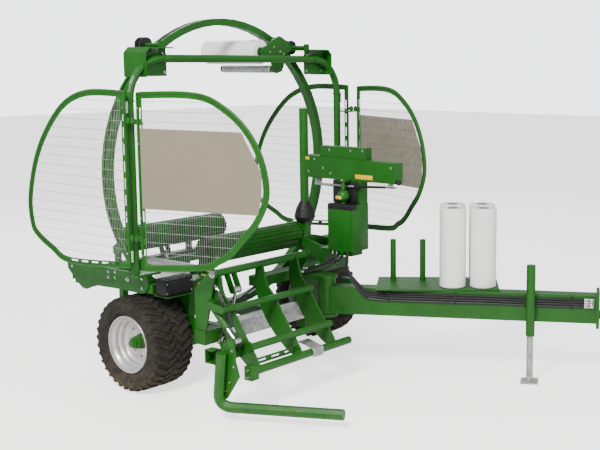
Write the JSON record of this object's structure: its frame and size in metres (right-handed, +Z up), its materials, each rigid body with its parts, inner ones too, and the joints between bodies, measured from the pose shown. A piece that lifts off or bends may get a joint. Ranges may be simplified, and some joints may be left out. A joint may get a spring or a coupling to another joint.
{
  "type": "trailed round bale wrapper",
  "caption": "Trailed machine with a vertical film-wrapping ring, two film dispensers, mesh guards, a loading cradle and a swinging drawbar on two tyred wheels.",
  "frame": {"origin": "middle of the machine's box as it parks, at the ground", "axes": "+X forward towards the drawbar and the loading cradle, +Y to the machine's left, +Z up"},
  "size_m": [4.9018, 3.1256, 3.347],
  "materials": {
    "green_paint": "mid green gloss paint",
    "galvanised": "dull galvanised steel",
    "silver_paint": "silver wheel paint",
    "tyre_rubber": "dusty black rubber",
    "black_plastic": "matte black",
    "white_film": "wound white stretch film",
    "grey_plate": "warm grey satin sheet",
    "polished_steel": "polished rod"
  },
  "bodies": {
    "chassis": {"chassis_frame": "green_paint", "portal_arch": "green_paint", "valve_housing": "green_paint", "accumulator": "black_plastic", "roller_drive": "green_paint", "control_box": "black_plastic", "front_beam": "galvanised", "cradle_stand": "green_paint"},
    "ring": {"wrapping_ring": "green_paint", "film_dispenser_1": "green_paint", "film_dispenser_2": "green_paint", "dispenser_film_roll_1": "white_film", "dispenser_film_roll_2": "white_film"},
    "front_roller": {"front_roller": "green_paint"},
    "side_roller": {"side_roller": "green_paint", "side_roller_cone": "black_plastic"},
    "table": {"tipping_table": "green_paint"},
    "rear_roller": {"rear_roller": "green_paint"},
    "cradle": {"loading_cradle": "green_paint"},
    "arm": {"loading_arm": "green_paint"},
    "drawbar": {"drawbar": "green_paint", "film_rack": "green_paint", "spare_film_roll_1": "white_film", "spare_film_roll_2": "white_film", "spare_film_roll_3": "white_film", "spare_film_roll_4": "white_film"},
    "jack": {"jack_leg": "galvanised"},
    "wheel_right": {"tyre_right": "tyre_rubber", "wheel_rim_right": "silver_paint"},
    "front_guard_right": {"front_guard_right": "green_paint", "name_plate_right": "grey_plate"},
    "rear_guard_right": {"rear_guard_right": "green_paint"},
    "guide_upper_right": {"guide_wheels_upper_right": "black_plastic"},
    "guide_lower_right": {"guide_wheels_lower_right": "black_plastic"},
    "wheel_left": {"tyre_left": "tyre_rubber", "wheel_rim_left": "silver_paint"},
    "front_guard_left": {"front_guard_left": "green_paint", "name_plate_left": "grey_plate"},
    "rear_guard_left": {"rear_guard_left": "green_paint"},
    "guide_upper_left": {"guide_wheels_upper_left": "black_plastic"},
    "guide_lower_left": {"guide_wheels_lower_left": "black_plastic"},
    "table_barrel": {"table_cylinder_barrel": "green_paint"},
    "table_rod": {"table_cylinder_rod": "polished_steel"},
    "cradle_barrel": {"cradle_cylinder_barrel": "green_paint"},
    "cradle_rod": {"cradle_cylinder_rod": "polished_steel"},
    "arm_barrel": {"arm_cylinder_barrel": "green_paint"},
    "arm_rod": {"arm_cylinder_rod": "polished_steel"},
    "drawbar_barrel": {"drawbar_cylinder_barrel": "green_paint"},
    "drawbar_rod": {"drawbar_cylinder_rod": "polished_steel"}
  },
  "joints": [
    {"name": "wheel_right_spin", "type": "hinge", "parent": "chassis", "child": "wheel_right", "pos_m": [-1.16587, -1.24778, 0.435], "axis": [0, 1, 0], "continuous": true},
    {"name": "wheel_left_spin", "type": "hinge", "parent": "chassis", "child": "wheel_left", "pos_m": [-1.16587, 1.09213, 0.435], "axis": [0, 1, 0], "continuous": true},
    {"name": "ring_spin", "type": "hinge", "parent": "chassis", "child": "ring", "pos_m": [-1.31087, -0.07783, 1.927], "axis": [1, 0, 0], "continuous": true},
    {"name": "front_roller_spin", "type": "hinge", "parent": "chassis", "child": "front_roller", "pos_m": [-0.96587, -0.07783, 1.191], "axis": [0, 1, 0], "continuous": true},
    {"name": "side_roller_spin", "type": "hinge", "parent": "chassis", "child": "side_roller", "pos_m": [-0.91587, 0.64217, 1.531], "axis": [0, 0, 1], "continuous": true},
    {"name": "table_tip", "type": "hinge", "parent": "chassis", "child": "table", "pos_m": [-2.40587, -0.07783, 1.031], "axis": [0, -1, 0], "range_deg": [0, 50]},
    {"name": "rear_roller_spin", "type": "hinge", "parent": "table", "child": "rear_roller", "pos_m": [-2.06587, -0.07783, 1.191], "axis": [0, 1, 0], "continuous": true},
    {"name": "cradle_lift", "type": "hinge", "parent": "chassis", "child": "cradle", "pos_m": [-0.30587, -0.07783, 1.141], "axis": [0, -1, 0], "range_deg": [0, 75]},
    {"name": "arm_swing", "type": "hinge", "parent": "cradle", "child": "arm", "pos_m": [-0.03587, -1.36783, 0.501], "axis": [0, -1, 0], "range_deg": [0, 35]},
    {"name": "drawbar_swing", "type": "hinge", "parent": "chassis", "child": "drawbar", "pos_m": [-0.21587, 0.17217, 0.551], "axis": [0, 0, 1], "range_deg": [-27, 5]},
    {"name": "jack_slide", "type": "slide", "parent": "drawbar", "child": "jack", "axis": [0, 0, 1], "range_m": [0, 0.35]},
    {"name": "front_guard_right_swing", "type": "hinge", "parent": "chassis", "child": "front_guard_right", "pos_m": [-0.84787, -1.54283, 1.131], "axis": [0, 0, -1], "range_deg": [0, 90]},
    {"name": "rear_guard_right_swing", "type": "hinge", "parent": "chassis", "child": "rear_guard_right", "pos_m": [-0.90387, -1.54283, 1.131], "axis": [0, 0, 1], "range_deg": [0, 90]},
    {"name": "guide_upper_right_spin", "type": "hinge", "parent": "chassis", "child": "guide_upper_right", "pos_m": [-1.31087, -1.02453, 3.08056], "axis": [1, 0, 0], "continuous": true},
    {"name": "guide_lower_right_spin", "type": "hinge", "parent": "chassis", "child": "guide_lower_right", "pos_m": [-1.31087, -0.9069, 0.6862], "axis": [1, 0, 0], "continuous": true},
    {"name": "front_guard_left_swing", "type": "hinge", "parent": "chassis", "child": "front_guard_left", "pos_m": [-0.84787, 1.38717, 1.131], "axis": [0, 0, 1], "range_deg": [0, 90]},
    {"name": "rear_guard_left_swing", "type": "hinge", "parent": "chassis", "child": "rear_guard_left", "pos_m": [-0.90387, 1.38717, 1.131], "axis": [0, 0, -1], "range_deg": [0, 90]},
    {"name": "guide_upper_left_spin", "type": "hinge", "parent": "chassis", "child": "guide_upper_left", "pos_m": [-1.31087, 0.86888, 3.08056], "axis": [1, 0, 0], "continuous": true},
    {"name": "guide_lower_left_spin", "type": "hinge", "parent": "chassis", "child": "guide_lower_left", "pos_m": [-1.31087, 0.75125, 0.6862], "axis": [1, 0, 0], "continuous": true},
    {"name": "table_cylinder_swing", "type": "hinge", "parent": "chassis", "child": "table_barrel", "pos_m": [-2.06587, -0.07783, 0.481], "axis": [0, -1, 0], "range_deg": [-6.93, 0.5]},
    {"name": "table_cylinder_stroke", "type": "slide", "parent": "table_barrel", "child": "table_rod", "axis": [-0.3223, 0, 0.9466], "range_m": [-0.002, 0.1582]},
    {"name": "cradle_cylinder_swing", "type": "hinge", "parent": "chassis", "child": "cradle_barrel", "pos_m": [-0.35587, -1.00278, 0.451], "axis": [0, -1, 0], "range_deg": [-8.34, 0.5]},
    {"name": "cradle_cylinder_stroke", "type": "slide", "parent": "cradle_barrel", "child": "cradle_rod", "axis": [0.2208, 0, 0.9753], "range_m": [-0.002, 0.2025]},
    {"name": "arm_cylinder_swing", "type": "hinge", "parent": "cradle", "child": "arm_barrel", "pos_m": [-0.27787, -1.25783, 0.902], "axis": [0, -1, 0], "range_deg": [-6.73, 0.5]},
    {"name": "arm_cylinder_stroke", "type": "slide", "parent": "arm_barrel", "child": "arm_rod", "axis": [0.7273, 0, -0.6863], "range_m": [-0.069, 0.002]},
    {"name": "drawbar_cylinder_swing", "type": "hinge", "parent": "chassis", "child": "drawbar_barrel", "pos_m": [-0.31587, 0.79717, 0.641], "axis": [0, 0, 1], "range_deg": [-16.3, 3.43]},
    {"name": "drawbar_cylinder_stroke", "type": "slide", "parent": "drawbar_barrel", "child": "drawbar_rod", "axis": [0.9595, -0.2817, 0], "range_m": [-0.049, 0.2559]}
  ],
  "couplings": [
    {"joint": "table_cylinder_swing", "follows": "table_tip", "ratio": -0.12859},
    {"joint": "table_cylinder_stroke", "follows": "table_tip", "m_per_rad": 0.17904},
    {"joint": "cradle_cylinder_swing", "follows": "cradle_lift", "ratio": -0.10449},
    {"joint": "cradle_cylinder_stroke", "follows": "cradle_lift", "m_per_rad": 0.15314},
    {"joint": "arm_cylinder_swing", "follows": "arm_swing", "ratio": -0.17791},
    {"joint": "arm_cylinder_stroke", "follows": "arm_swing", "m_per_rad": -0.1096},
    {"joint": "drawbar_cylinder_swing", "follows": "drawbar_swing", "ratio": 0.58521},
    {"joint": "drawbar_cylinder_stroke", "follows": "drawbar_swing", "m_per_rad": -0.53877}
  ]
}
